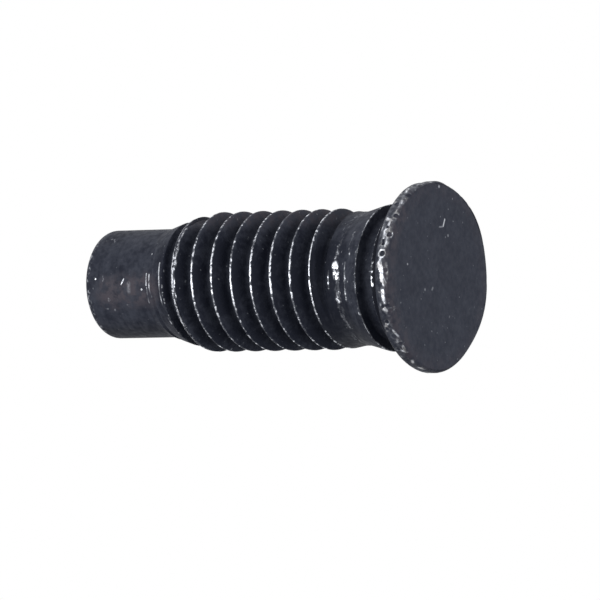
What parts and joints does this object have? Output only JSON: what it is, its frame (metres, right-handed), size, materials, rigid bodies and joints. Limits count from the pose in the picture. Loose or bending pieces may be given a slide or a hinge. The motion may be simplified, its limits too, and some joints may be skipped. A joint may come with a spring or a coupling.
{
  "type": "self-clinching stud",
  "caption": "Flush-head self-clinching stud with a right-hand metric thread, a lead-in cone and a plain dog point, in black steel.",
  "frame": {"origin": "centre of the flat face of the head", "axes": "+Z along the axis from the head's face to the end of the dog point; the stud stands on its head"},
  "size_m": [0.008, 0.008, 0.0166],
  "materials": {
    "black_steel": "blackened steel, matt, with bare bright metal worn through on the thread's crests and the head's rim"
  },
  "bodies": {
    "root": {"stud": "black_steel"}
  },
  "joints": []
}
